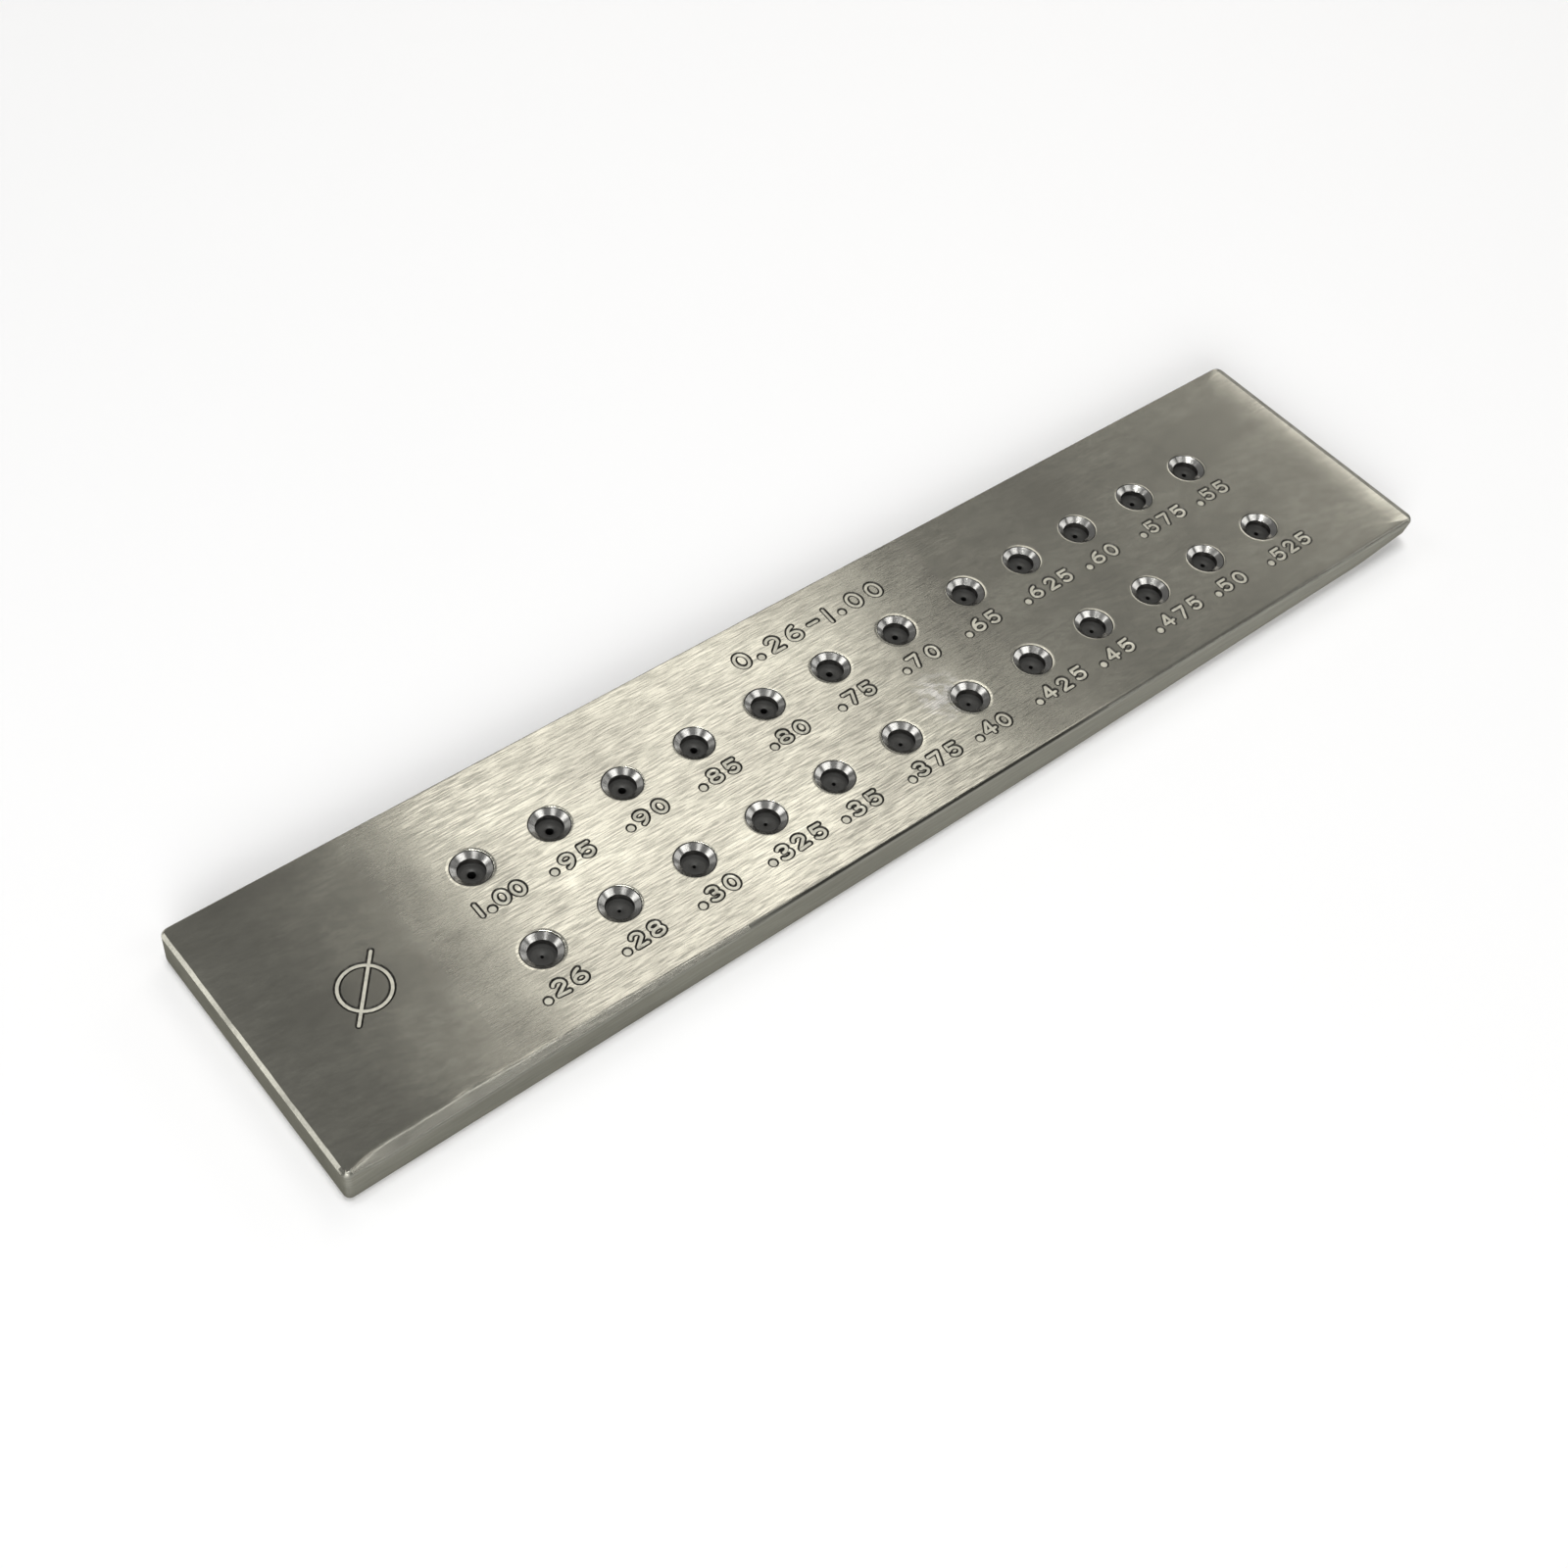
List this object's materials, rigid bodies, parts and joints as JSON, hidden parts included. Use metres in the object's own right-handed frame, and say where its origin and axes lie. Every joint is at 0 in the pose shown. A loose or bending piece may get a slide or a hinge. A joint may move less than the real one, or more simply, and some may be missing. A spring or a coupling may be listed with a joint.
{
  "type": "wire draw plate",
  "caption": "Flat steel plate with two rows of countersunk holes, each holding a dark carbide die that draws wire down to the size stamped beside it.",
  "frame": {"origin": "middle of the back face, which the plate lies on", "axes": "+X along the length towards the end with less margin, +Y across the rows, +Z from the back face to the numbered front face"},
  "size_m": [0.2, 0.044, 0.0064],
  "materials": {
    "plate_steel": "satin",
    "die_carbide": "satin"
  },
  "bodies": {
    "root": {"plate": "plate_steel", "die_1_00": "die_carbide", "die_0_95": "die_carbide", "die_0_90": "die_carbide", "die_0_85": "die_carbide", "die_0_80": "die_carbide", "die_0_75": "die_carbide", "die_0_70": "die_carbide", "die_0_65": "die_carbide", "die_0_625": "die_carbide", "die_0_60": "die_carbide", "die_0_575": "die_carbide", "die_0_55": "die_carbide", "die_0_26": "die_carbide", "die_0_28": "die_carbide", "die_0_30": "die_carbide", "die_0_325": "die_carbide", "die_0_35": "die_carbide", "die_0_375": "die_carbide", "die_0_40": "die_carbide", "die_0_425": "die_carbide", "die_0_45": "die_carbide", "die_0_475": "die_carbide", "die_0_50": "die_carbide", "die_0_525": "die_carbide"}
  },
  "joints": []
}
